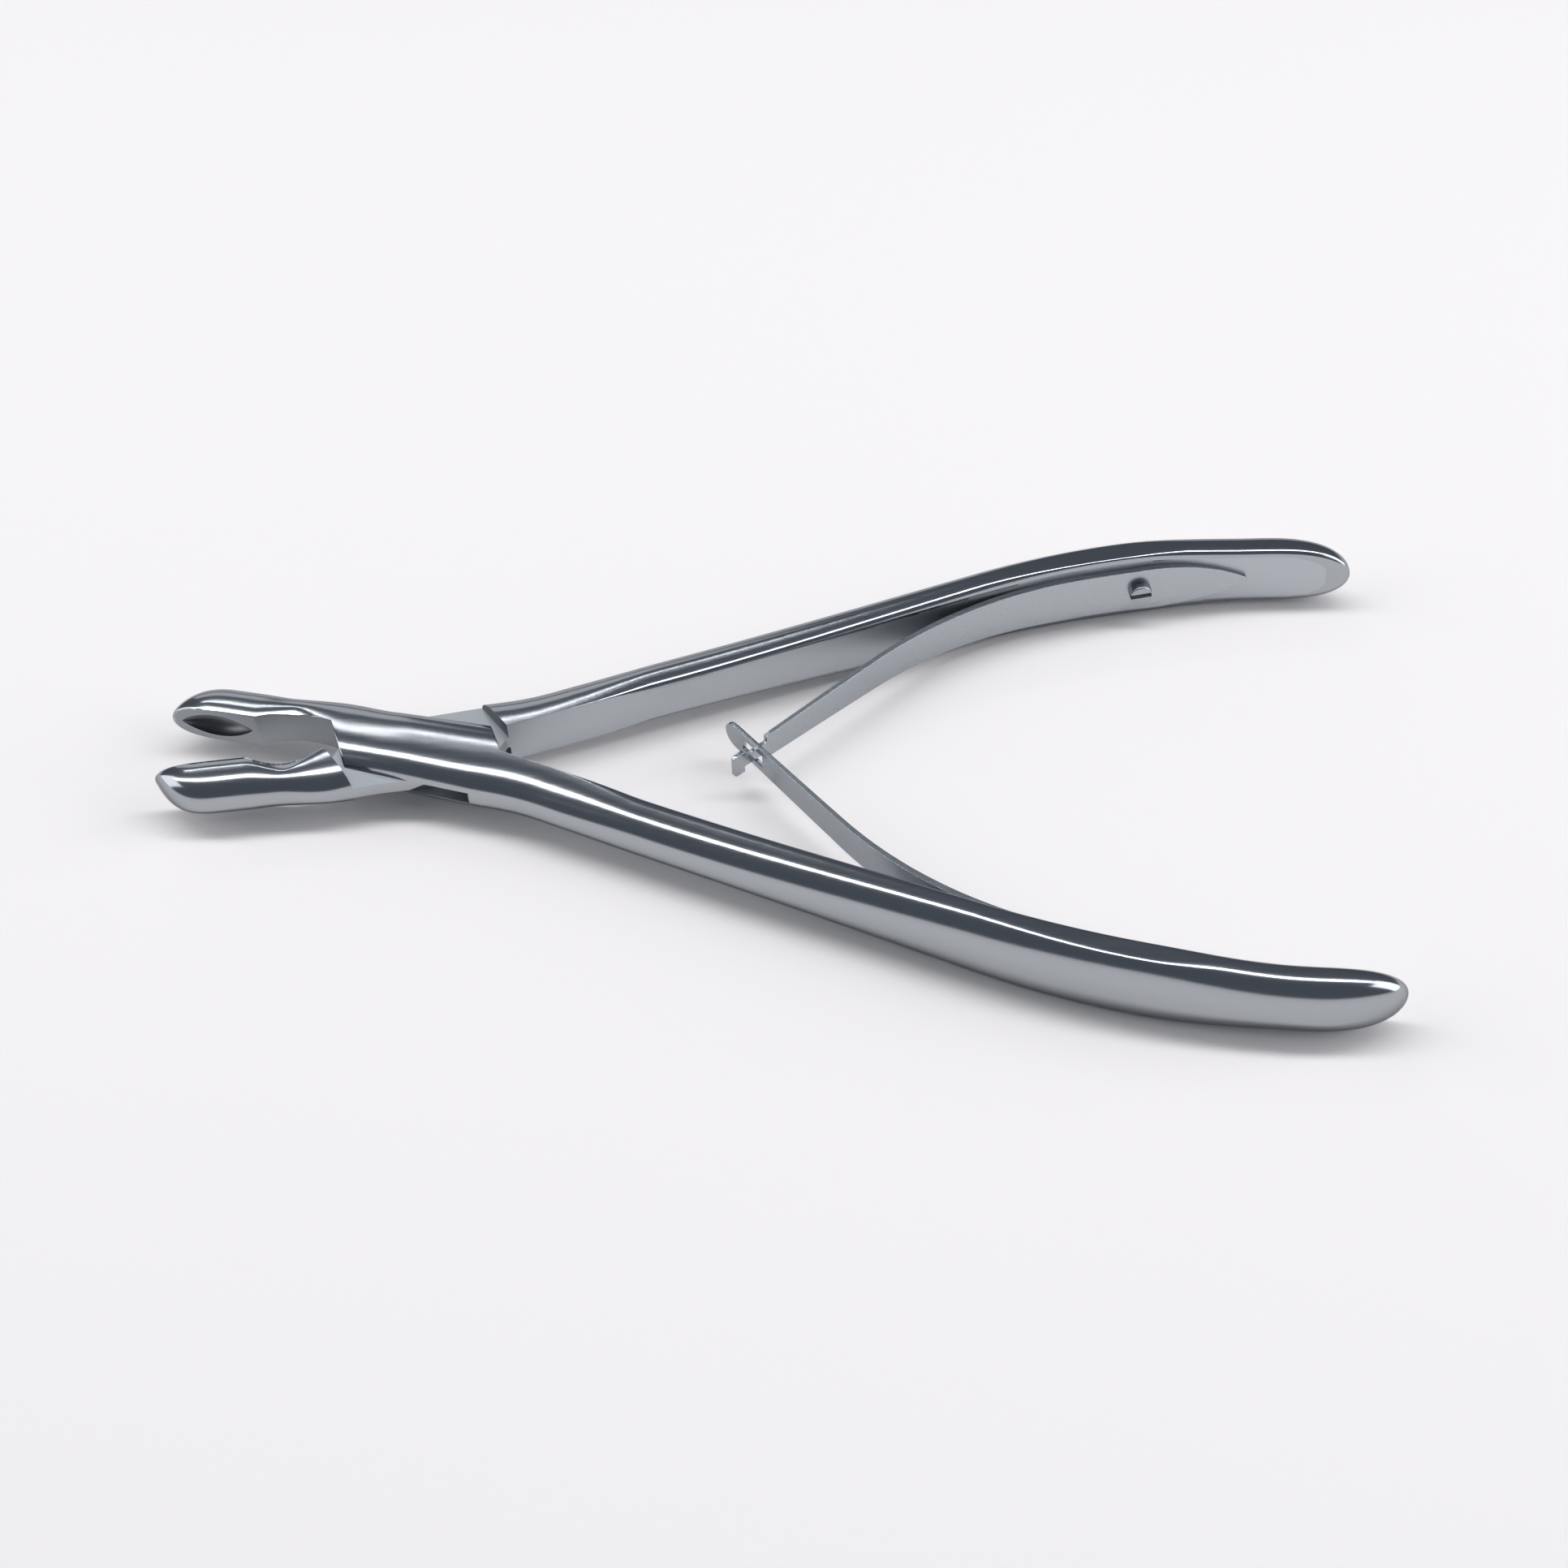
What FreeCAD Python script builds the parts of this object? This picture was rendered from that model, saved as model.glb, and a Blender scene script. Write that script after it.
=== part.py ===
"""Bone rongeur: box-lock pliers for nipping bone, with two leaf springs that hold them open.

Millimetres, +Z up, lying flat on the sides of its grips, jaws towards -X, handles towards +X.
The pieces are drawn with the pivot's axis at X = Y = 0 and the middle of their thickness at
Z = 0, in the open pose, and are then moved so that the origin is the bottom centre of the
box that holds them all. Both levers come from one forging, the second mirrored across Y = 0.
"""

import FreeCAD, Part
import math
import os

V = FreeCAD.Vector
UP = V(0, 0, 1)
FAR = 160.0                     # reach of cutting shapes, past every piece
ACROSS = 25.0                   # half the length of cutters that run across a lever

# Opening
OPEN_ANGLE = 18.4               # between the levers when they rest on their stops
HALF_OPEN = OPEN_ANGLE / 2
RIM_CLEARANCE = 0.03            # each rim stands back this far when the jaws are shut

# Jaws
JAW_REACH = 35.8                # pivot to the jaws' tips
NOSE_LENGTH = 9.3               # the part of a jaw that tapers to its tip
JAW_DEPTH = 6.0                 # rim to back
NOSE_SLOPE = 2.6                # power of the fall of its back
NOSE_BLUNTNESS = 4              # power of the fall of its sides
RIM_SET = 1.8                   # how far the round forging passed the rim before it was ground
JAW_HALF_THICKNESS = 3.3
RIM_END = 22.9                  # pivot to the heel of the rim
CUP_START = 34.9                # pivot to the front of the gouged cup
CUP_LENGTH = 10.8
CUP_DEPTH = 2.15
RELIEF_TOP = 4.5                # height of the hollow behind the rims, above the middle line
RELIEF_TOP_AT = 18.2            # pivot to the hollow's highest point
NECK_HALF_THICKNESS = 3.3
NECK_AT = 17.5
NECK_LOW = 3.65                 # near side of the forging at the neck, inside the hollow

# Box lock
BOX_HALF_WIDTH = 5.9
BOX_HALF_THICKNESS = 3.7
BOX_FAR_SLOPE = 9.5             # flank on the jaw's side
BOX_NEAR_SLOPE = 13.5           # flank on the handle's side
BOX_SWELL = 0.45                # the far flank stands out by this much at the front edge,
BOX_SWELL_AT = 11.0             # this far from the pivot,
BOX_SWELL_LENGTH = 8.0          # over this length to either side
EDGE_ANGLE = 30.0               # slant of the box's edges, jaws shut
FRONT_EDGE = 9.9                # pivot to the box's front edge
REAR_EDGE = 11.3                # pivot to the box's rear edge
EDGE_GAP = 0.55                 # left between edge and shoulder when shut
FRONT_CORNER = 7.45             # along the front edge, from its middle to the hollow
SHOULDER_PEAK = 1.45            # how far the tongue lever's shoulder stands past its tongue
TONGUE_THICKNESS = 2.0
TONGUE_CLEARANCE = 0.04         # each side of the tongue in its slot
PIN_RADIUS = 2.0
PIN_CLEARANCE = 0.04            # in the tongue's bore; the pin is riveted into the box

# Handles
ROOT_X = 14.3                   # where the inner face leaves the box
ROOT_Y = 2.8
HANDLE_ANGLE = 21.3             # of the straight run to the middle line
BEND_START = 80.0
BEND_RADIUS = 128.0
HANDLE_REACH = 134.3            # pivot to the handles' ends
END_LENGTH = 12.3               # the part that rounds off to the end
END_SLOPE = 2                   # power of the fall of its back
END_BLUNTNESS = 3               # power of the fall of its sides
END_SET = 1.4                   # the end's tip lies this far outside the inner face's line
SHAFT_DEPTH = 5.8               # inner face to back, along the straight run
GRIP_DEPTH = 5.1
GRIP_AT = 100.0
BACK_LEAVES_BOX = 8.0           # the box's flank runs into the handle's back
BACK_IS_HANDLE = 22.0           # between these two places
FACE_SET = 1.7                  # how far the oval forging passed the inner face
SHAFT_HALF_THICKNESS = 3.75
SHAFT_AT = 34.0
GRIP_HALF_THICKNESS = 6.3
GRIP_LAND = 5.9                 # half the width across the ground sides of the grips
GRIP_TAIL_HALF_THICKNESS = 5.15
GRIP_TAIL_AT = 120.0

# Roundness of the forging's section: 2 is an ellipse, larger is squarer
JAW_ROUND = 2.4
NECK_ROUND = 2.1
BOX_ROUND = 3.2
BACK_ROUND = 2.3
FACE_ROUND = 2.8
SECTION_POINTS = 28
NOSE_STATIONS = 6               # sections measured along a jaw's nose,
SHAFT_STATIONS = 6              # along a handle
END_STATIONS = 7                # and along its end

# Leaf springs
LEAF_THICKNESS = 1.0
LEAF_FOOT_WIDTH = 7.8
LEAF_LEAVES = 90.0              # where a leaf lifts off its handle
LEAF_BEND_RADIUS = 64.0
LEAF_TAIL = 119.0               # end of the foot
LEAF_TAIL_TAPER = 17.0
LEAF_TAIL_WIDTH = 1.6
LEAF_TAIL_ROUND = 0.4           # length of the tail's rounded end
LEAF_TAIL_CURVE = V(7.1, 0, 3.2) # a point of the tail's side: from its end, off its middle
LEAF_TIP_WIDTH = 4.4
CROSS_X = 48.4                  # where the two leaves cross
CROSS_Y = 1.2                   # the crossing lies this far to the upper handle's side
SLOT_BACK = 1.3                 # slot's end before the crossing
SLOT_AHEAD = 3.1                # and past it
SLOT_WIDTH = 2.4
LEAF_END = 7.0                  # rounded end of the slotted leaf, past the crossing
NECK_WIDTH = 1.9
NECK_START = 1.2                # the neck begins this far before the crossing
NECK_TAPER = 0.3
NECK_END = 2.8
HEAD_WIDTH = 4.0
HEAD_LENGTH = 1.9

# Spring screws
SCREW_AT = 103.1
SCREW_HEAD_RADIUS = 1.65
SCREW_HEAD_HEIGHT = 1.2
SCREW_SHANK_RADIUS = 1.1
SCREW_SHANK_LENGTH = 3.2        # past the leaf, into the handle
SCREW_SEAT_GAP = 0.02           # under a flat head on a curved foot
SCREW_END_ROOM = 0.3            # below the screw in its hole
SCREW_SLOT_WIDTH = 0.8
SCREW_SLOT_DEPTH = 0.6
SCREW_SLOT_TURN = 4.0
SCREW_EDGE = 0.25
LEAF_HOLE_CLEARANCE = 0.15


def tan(degrees):
    return math.tan(math.radians(degrees))


def towards(degrees, distance):
    """A point at a distance from the pivot in a direction of the joint's plane."""
    angle = math.radians(degrees)
    return V(distance * math.cos(angle), distance * math.sin(angle), 0)


def blend(x, left, right, start, end):
    """A smooth step from start at left to end at right."""
    share = min(1.0, max(0.0, (x - left) / (right - left)))
    return start + (end - start) * share * share * (3 - 2 * share)


def meet(angle_a, distance_a, angle_b, distance_b):
    """The crossing of two lines, each given by its normal's direction and its distance."""
    a, b = math.radians(angle_a), math.radians(angle_b)
    det = math.sin(b - a)
    x = (distance_a * math.sin(b) - distance_b * math.sin(a)) / det
    y = (distance_b * math.cos(a) - distance_a * math.cos(b)) / det
    return V(x, y, 0)


# The outline of a lever. It is drawn as the box lever lies: jaw at +Y, handle at -Y.

def rim_y(x):
    return -x * tan(HALF_OPEN)


def face_angle(x):
    """Slope of a handle's inner face, in degrees."""
    if x <= BEND_START:
        return HANDLE_ANGLE
    return math.degrees(math.asin(math.sin(math.radians(HANDLE_ANGLE)) - (x - BEND_START) / BEND_RADIUS))


def face_y(x):
    """Distance of a handle's inner face from the middle line: a straight run, then an arc."""
    straight = ROOT_Y + (min(x, BEND_START) - ROOT_X) * tan(HANDLE_ANGLE)
    turned = math.cos(math.radians(face_angle(x))) - math.cos(math.radians(HANDLE_ANGLE))
    return straight + BEND_RADIUS * turned


def nose(x):
    """1 on the body of a jaw, falling to 0 at its tip, in depth and in thickness."""
    share = max(0.0, (-x - JAW_REACH + NOSE_LENGTH) / NOSE_LENGTH)
    return 1 - share ** NOSE_SLOPE, math.sqrt(1 - share ** NOSE_BLUNTNESS)


def end(x):
    """1 on the body of a handle, falling to 0 at its end, in depth and in thickness."""
    share = max(0.0, (x - HANDLE_REACH + END_LENGTH) / END_LENGTH)
    return math.sqrt(1 - share ** END_SLOPE), math.sqrt(1 - share ** END_BLUNTNESS)


def upper_side(x):
    """The jaw's back, the box's far flank, then past the handle's inner face."""
    swell = BOX_SWELL * blend(abs(x + BOX_SWELL_AT), 0, BOX_SWELL_LENGTH, 1, 0)
    flank = BOX_HALF_WIDTH - x * tan(BOX_FAR_SLOPE) + swell
    if x < -NECK_AT:
        return blend(x, -RIM_END - NOSE_LENGTH / 2, -NECK_AT, rim_y(x) + JAW_DEPTH * nose(x)[0], flank)
    handle = (FACE_SET + END_SET) * end(x)[0] - END_SET - face_y(x)
    return blend(x, REAR_EDGE, SHAFT_AT, flank, handle)


def lower_side(x):
    """Past the rim and the hollow, the box's near flank, then the handle's back."""
    flank = -BOX_HALF_WIDTH - x * tan(BOX_NEAR_SLOPE)
    if x < -NECK_AT:
        return blend(x, -RIM_END, -NECK_AT, rim_y(x) - RIM_SET * nose(x)[0], NECK_LOW)
    if x < 0:
        return blend(x, -NECK_AT, -FRONT_EDGE, NECK_LOW, flank)
    depth = blend(x, SHAFT_AT, GRIP_AT, SHAFT_DEPTH, GRIP_DEPTH) / math.cos(math.radians(face_angle(x)))
    back = -face_y(x) - END_SET - (depth - END_SET) * end(x)[0]
    return blend(x, BACK_LEAVES_BOX, BACK_IS_HANDLE, flank, back)


def half_thickness(x):
    if x < -NECK_AT:
        return blend(x, -RIM_END, -NECK_AT, JAW_HALF_THICKNESS * nose(x)[1], NECK_HALF_THICKNESS)
    if x < 0:
        return blend(x, -NECK_AT, 0, NECK_HALF_THICKNESS, BOX_HALF_THICKNESS)
    if x < SHAFT_AT:
        return blend(x, REAR_EDGE, SHAFT_AT, BOX_HALF_THICKNESS, SHAFT_HALF_THICKNESS)
    grip = blend(x, SHAFT_AT, GRIP_AT, SHAFT_HALF_THICKNESS, GRIP_HALF_THICKNESS)
    return blend(x, GRIP_AT, GRIP_TAIL_AT, grip, GRIP_TAIL_HALF_THICKNESS) * end(x)[1]


def roundness(x):
    """How square the section is on its upper side and on its lower side."""
    if x < -NECK_AT:
        jaw = blend(x, -RIM_END, -NECK_AT, JAW_ROUND, NECK_ROUND)
        return jaw, jaw
    if x < 0:
        box = blend(x, -NECK_AT, 0, NECK_ROUND, BOX_ROUND)
        return box, box
    return blend(x, REAR_EDGE, SHAFT_AT, BOX_ROUND, FACE_ROUND), blend(x, 0, SHAFT_AT, BOX_ROUND, BACK_ROUND)


def section(x):
    """One closed oval across the forging, squarer or rounder on each side as the piece needs."""
    high, low, half = upper_side(x), lower_side(x), half_thickness(x)
    upper_round, lower_round = roundness(x)
    points = []
    for i in range(SECTION_POINTS):
        turn = 2 * math.pi * i / SECTION_POINTS
        c, s = math.cos(turn), math.sin(turn)
        power = 2 / (upper_round if c > 0 else lower_round)
        y = math.copysign(abs(c) ** power, c) * (high - low) / 2 + (high + low) / 2
        z = math.copysign(abs(s) ** power, s) * half
        points.append(V(x, y, z))
    curve = Part.BSplineCurve()
    curve.interpolate(Points=points, PeriodicFlag=True)
    return Part.Wire(curve.toShape())


def closer(body, tip, steps):
    """Places from the body to the tip, closer and closer together, the last just short of it."""
    shares = [math.sin(math.pi / 2 * i / (steps + 0.5)) for i in range(1, steps + 1)]
    return [body + (tip - body) * share for share in shares]


def stations():
    """Where the forging is measured: close together at its ends, and along its length."""
    places = list(reversed(closer(NOSE_LENGTH - JAW_REACH, -JAW_REACH, NOSE_STATIONS)))
    places += [-RIM_END, -(RIM_END + NECK_AT) / 2, -NECK_AT, -(NECK_AT + FRONT_EDGE) / 2, -FRONT_EDGE]
    places += [-FRONT_EDGE / 2, 0, REAR_EDGE / 2, REAR_EDGE, (REAR_EDGE + SHAFT_AT) / 2, SHAFT_AT]
    body = HANDLE_REACH - END_LENGTH
    places += [SHAFT_AT + (body - SHAFT_AT) * (i + 1) / SHAFT_STATIONS for i in range(SHAFT_STATIONS)]
    return places + closer(body, HANDLE_REACH, END_STATIONS)


def forging():
    return Part.makeLoft([section(x) for x in stations()], True, False)


# Cutting shapes

def plate(edges, low=-FAR, high=FAR):
    """An outline in the joint's plane, given thickness."""
    face = Part.Face(Part.Wire(Part.__sortEdges__(edges)))
    face.translate(V(0, 0, low))
    return face.extrude(V(0, 0, high - low))


def line(a, b):
    return Part.makeLine(a, b)


def front_space(corner, *past):
    """All that lies between the jaws: under the rim, in the round hollow and ahead of the box."""
    start = V(-FAR, rim_y(-FAR) + RIM_CLEARANCE, 0)
    heel = V(-RIM_END, rim_y(-RIM_END) + RIM_CLEARANCE, 0)
    hollow = Part.Arc(heel, V(-RELIEF_TOP_AT, RELIEF_TOP, 0), corner).toShape()
    low = V(0, -FAR, 0)
    points = [corner, *past, low, V(-FAR, -FAR, 0), start, heel]
    return plate([hollow] + [line(a, b) for a, b in zip(points, points[1:])])


def front_line(distance, along):
    """A point on a line that is parallel to the box's front edge."""
    out = towards(180 + EDGE_ANGLE - HALF_OPEN, distance)
    return out + towards(EDGE_ANGLE - HALF_OPEN + 90, along)


def handle_space():
    """All that lies between the handles, behind the box's rear edge."""
    edge = EDGE_ANGLE - HALF_OPEN
    corner = meet(edge, REAR_EDGE, 90 - HANDLE_ANGLE, rear_face_distance())
    bend = V(BEND_START, -face_y(BEND_START), 0)
    past = HANDLE_REACH + LEAF_THICKNESS
    half_way = (BEND_START + past) / 2
    arc = Part.Arc(bend, V(half_way, -face_y(half_way), 0), V(past, -face_y(past), 0)).toShape()
    far = V(past, FAR, 0)
    top = corner + towards(edge + 90, FAR)
    points = [arc.Vertexes[-1].Point, far, top, corner, bend]
    return plate([arc] + [line(a, b) for a, b in zip(points, points[1:])])


def rear_face_distance():
    """Distance from the pivot to the straight inner face of the box lever's handle."""
    return (V(ROOT_X, -ROOT_Y, 0)).dot(towards(90 - HANDLE_ANGLE, 1))


def milled_strip(front, rear, low, high):
    """A straight channel milled across a lever, at the slant that lets the other lever through."""
    strip = Part.makeBox(front + rear, 2 * ACROSS, high - low, V(-front, -ACROSS, low))
    strip.rotate(V(0, 0, 0), UP, -EDGE_ANGLE - HALF_OPEN)
    return strip


def cup():
    """The almond-shaped hollow gouged into a jaw: an arc turned about its own chord."""
    direction = towards(180 - HALF_OPEN, 1)
    side = towards(90 - HALF_OPEN, 1)
    front = direction * CUP_START
    back = direction * (CUP_START - CUP_LENGTH)
    middle = (front + back) * 0.5 + side * CUP_DEPTH
    blade = Part.Face(Part.Wire([Part.Arc(front, middle, back).toShape(), line(back, front)]))
    return blade.revolve(front, direction, 360)


def grip_sides(solid):
    """Grinds the grips' sides flat, so that the tool lies on them."""
    slab = Part.makeBox(2 * FAR, 2 * FAR, 2 * GRIP_LAND, V(-FAR, -FAR, -GRIP_LAND))
    return solid.common(slab)


def mirrored(shape):
    return shape.mirror(V(0, 0, 0), V(0, 1, 0))


# Levers

def pin_bore(radius):
    return Part.makeCylinder(radius, 2 * FAR, V(0, 0, -FAR))


def screw_hole(radius):
    """A hole square to the handle's inner face, at the spring's screw."""
    depth = SCREW_SHANK_LENGTH + SCREW_END_ROOM
    above = 2 * LEAF_THICKNESS
    return along_screw(Part.makeCylinder(radius, above + depth, V(0, 0, -above)))


def along_screw(shape):
    """Puts a shape drawn on +Z, into the handle from its inner face, where the screw goes."""
    shape.rotate(V(0, 0, 0), V(1, 0, 0), 90)
    shape.rotate(V(0, 0, 0), UP, -face_angle(SCREW_AT))
    shape.translate(V(SCREW_AT, -face_y(SCREW_AT), 0))
    return shape


def box_lever(stock):
    """The lever with the box: two walls either side of a slot, through which the other passes."""
    corner = front_line(FRONT_EDGE, FRONT_CORNER)
    lever = stock.cut(front_space(corner, front_line(FRONT_EDGE, -ACROSS)))
    lever = lever.cut(handle_space())
    half_slot = TONGUE_THICKNESS / 2 + TONGUE_CLEARANCE
    lever = lever.cut(milled_strip(FRONT_EDGE + EDGE_GAP, REAR_EDGE + EDGE_GAP, -half_slot, half_slot))
    lever = lever.cut(cup())
    lever = lever.cut(pin_bore(PIN_RADIUS))
    return grip_sides(lever.cut(screw_hole(SCREW_SHANK_RADIUS)))


def tongue_lever(stock):
    """The lever that is thinned to a tongue between two shoulders, where it goes through the box."""
    shoulder = 180 - EDGE_ANGLE - HALF_OPEN
    front = FRONT_EDGE + EDGE_GAP
    rear = REAR_EDGE + EDGE_GAP
    root = meet(shoulder, front, 180 + EDGE_ANGLE - HALF_OPEN, FRONT_EDGE)
    peak = root + towards(shoulder + 90, SHOULDER_PEAK)
    lever = stock.cut(front_space(peak, root, front_line(FRONT_EDGE, -ACROSS)))
    lever = lever.cut(handle_space())
    half_tongue = TONGUE_THICKNESS / 2
    lever = lever.cut(milled_strip(front, rear, half_tongue, FAR))
    lever = lever.cut(milled_strip(front, rear, -FAR, -half_tongue))
    lever = lever.cut(cup())
    lever = lever.cut(pin_bore(PIN_RADIUS + PIN_CLEARANCE))
    return mirrored(grip_sides(lever.cut(screw_hole(SCREW_SHANK_RADIUS))))


# Springs. Each is drawn on the box lever's handle, and the upper one is then mirrored.

def inward(x):
    """The direction from a handle's inner face to the middle."""
    return towards(90 - face_angle(x), 1)


def on_face(x):
    return V(x, -face_y(x), 0)


def leaf_line(cross):
    """Where a leaf's free end runs: the centre and turn of its bend, and its direction past it."""
    lift = on_face(LEAF_LEAVES)
    centre = lift + inward(LEAF_LEAVES) * LEAF_BEND_RADIUS
    reach = cross - centre
    middle_radius = LEAF_BEND_RADIUS - LEAF_THICKNESS / 2
    bearing = math.degrees(math.atan2(reach.y, reach.x)) % 360
    turn = bearing + math.degrees(math.acos(middle_radius / reach.Length))
    return centre, turn, towards(turn - 90, 1)


def bend(centre, radius, start, stop):
    """An arc about a centre between two directions."""
    places = [centre + towards(angle, radius) for angle in (start, (start + stop) / 2, stop)]
    return Part.Arc(*places).toShape()


def leaf_side(cross, length, depth):
    """One side of a leaf seen along Z, at a depth below the face that lies on the handle."""
    centre, turn, ahead = leaf_line(cross)
    seat = on_face(LEAF_LEAVES) + inward(LEAF_LEAVES) * BEND_RADIUS
    lift_turn = 270 - face_angle(LEAF_LEAVES)
    foot = bend(seat, BEND_RADIUS - depth, 270 - face_angle(LEAF_TAIL), lift_turn)
    curve = bend(centre, LEAF_BEND_RADIUS - depth, lift_turn, turn)
    tip = cross + ahead * length + towards(turn, LEAF_THICKNESS / 2 - depth)
    return [foot, curve, line(curve.Vertexes[-1].Point, tip)]


def ribbon(cross, length):
    """The bent strip that a leaf is cut from."""
    outer = leaf_side(cross, length, 0)
    inner = leaf_side(cross, length, LEAF_THICKNESS)
    caps = [line(a.Vertexes[i].Point, b.Vertexes[i].Point) for a, b, i in
            ((outer[0], inner[0], 0), (outer[-1], inner[-1], -1))]
    return plate(outer + inner + caps, -LEAF_FOOT_WIDTH, LEAF_FOOT_WIDTH)


def width_outline(upper_edges, *end_edges):
    """A leaf's outline across its width, from the edges of its upper half and any across its end."""
    edges = upper_edges + [edge.mirror(V(0, 0, 0), UP) for edge in upper_edges] + list(end_edges)
    face = Part.Face(Part.Wire(Part.__sortEdges__(edges)))
    face.translate(V(0, -FAR, 0))
    return face.extrude(V(0, 2 * FAR, 0))


def foot_edges():
    """The upper half of a leaf's foot: a round end, a tapering tail and a straight side."""
    tail = V(LEAF_TAIL, 0, 0)
    tail_side = V(LEAF_TAIL - LEAF_TAIL_ROUND, 0, LEAF_TAIL_WIDTH / 2)
    full = V(LEAF_TAIL - LEAF_TAIL_TAPER, 0, LEAF_FOOT_WIDTH / 2)
    half_way = V(LEAF_TAIL - LEAF_TAIL_CURVE.x, 0, LEAF_TAIL_CURVE.z)
    side = Part.Arc(tail_side, half_way, full).toShape()
    lift = V(LEAF_LEAVES, 0, LEAF_FOOT_WIDTH / 2)
    return [line(tail, tail_side), side, line(full, lift)]


def chain(points):
    return [line(a, b) for a, b in zip(points, points[1:])]


def slotted_leaf():
    """The leaf whose rounded end has a slot for the other's neck."""
    cross = V(CROSS_X, CROSS_Y, 0)
    ahead = leaf_line(cross)[2]
    lift = V(LEAF_LEAVES, 0, LEAF_FOOT_WIDTH / 2)
    shoulder = V(CROSS_X + ahead.x * (LEAF_END - LEAF_TIP_WIDTH / 2), 0, LEAF_TIP_WIDTH / 2)
    tip = V(CROSS_X + ahead.x * LEAF_END, 0, 0)
    round_end = Part.Arc(shoulder, tip, V(shoulder.x, 0, -shoulder.z)).toShape()
    outline = width_outline(foot_edges() + [line(lift, shoulder)], round_end)
    leaf = ribbon(cross, LEAF_END).common(outline)
    slot_start = CROSS_X + ahead.x * SLOT_AHEAD
    slot_length = -ahead.x * (SLOT_AHEAD + SLOT_BACK)
    corner = V(slot_start, -FAR, -SLOT_WIDTH / 2)
    leaf = leaf.cut(Part.makeBox(slot_length, 2 * FAR, SLOT_WIDTH, corner))
    return leaf.cut(screw_hole(SCREW_SHANK_RADIUS + LEAF_HOLE_CLEARANCE))


def headed_leaf():
    """The leaf whose neck passes through the slot and ends in a cross-bar."""
    cross = V(CROSS_X, -CROSS_Y, 0)
    ahead = leaf_line(cross)[2]

    def at(past, width):
        return V(CROSS_X + ahead.x * past, 0, width / 2)

    head_end = NECK_END + HEAD_LENGTH
    points = [V(LEAF_LEAVES, 0, LEAF_FOOT_WIDTH / 2), at(-NECK_START - NECK_TAPER, LEAF_TIP_WIDTH)]
    points += [at(-NECK_START, NECK_WIDTH), at(NECK_END, NECK_WIDTH), at(NECK_END, HEAD_WIDTH)]
    points += [at(head_end, HEAD_WIDTH), at(head_end, 0)]
    outline = width_outline(foot_edges() + chain(points))
    leaf = ribbon(cross, head_end + LEAF_THICKNESS).common(outline)
    return mirrored(leaf.cut(screw_hole(SCREW_SHANK_RADIUS + LEAF_HOLE_CLEARANCE)))


def spring_screw():
    """A slotted cheese-head screw, its head on the leaf and its shank in the handle."""
    under_head = -LEAF_THICKNESS - SCREW_SEAT_GAP
    shank = Part.makeCylinder(SCREW_SHANK_RADIUS, SCREW_SHANK_LENGTH - under_head, V(0, 0, under_head))
    top = under_head - SCREW_HEAD_HEIGHT
    head = Part.makeCylinder(SCREW_HEAD_RADIUS, SCREW_HEAD_HEIGHT, V(0, 0, top))
    rim = [edge for edge in head.Edges if abs(edge.BoundBox.ZMax - top) < SCREW_EDGE / 10]
    head = head.makeFillet(SCREW_EDGE, rim)
    across = 4 * SCREW_HEAD_RADIUS
    slot = Part.makeBox(across, SCREW_SLOT_WIDTH, 2 * SCREW_SLOT_DEPTH)
    slot.translate(V(-across / 2, -SCREW_SLOT_WIDTH / 2, top - SCREW_SLOT_DEPTH))
    slot.rotate(V(0, 0, 0), UP, SCREW_SLOT_TURN)
    return along_screw(head.fuse(shank).removeSplitter().cut(slot))


def pivot_pin(stock):
    """The rivet that the levers turn on, ground flush with the box's crowned faces."""
    return Part.makeCylinder(PIN_RADIUS, 2 * FAR, V(0, 0, -FAR)).common(stock)


def build():
    stock = forging()
    pieces = {
        "box_lever": box_lever(stock),
        "tongue_lever": tongue_lever(stock),
        "pivot_pin": pivot_pin(stock),
        "slotted_leaf_spring": slotted_leaf(),
        "headed_leaf_spring": headed_leaf(),
        "lower_spring_screw": spring_screw(),
        "upper_spring_screw": mirrored(spring_screw()),
    }
    box = Part.makeCompound(list(pieces.values())).optimalBoundingBox(False)
    shift = V(-box.Center.x, -box.Center.y, -box.ZMin)
    os.makedirs("parts", exist_ok=True)
    for name, piece in pieces.items():
        piece.translate(shift)
        piece.exportStep("parts/" + name + ".step")
        print(name, "solids", len(piece.Solids), "valid", piece.isValid(), "volume", round(piece.Volume, 2))
    print("pivot at", [round(v, 4) for v in shift])
    print("box", [round(v, 3) for v in (box.XLength, box.YLength, box.ZLength)])


build()
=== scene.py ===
import bmesh
import bpy
import math
from mathutils import Matrix, Vector


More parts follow.
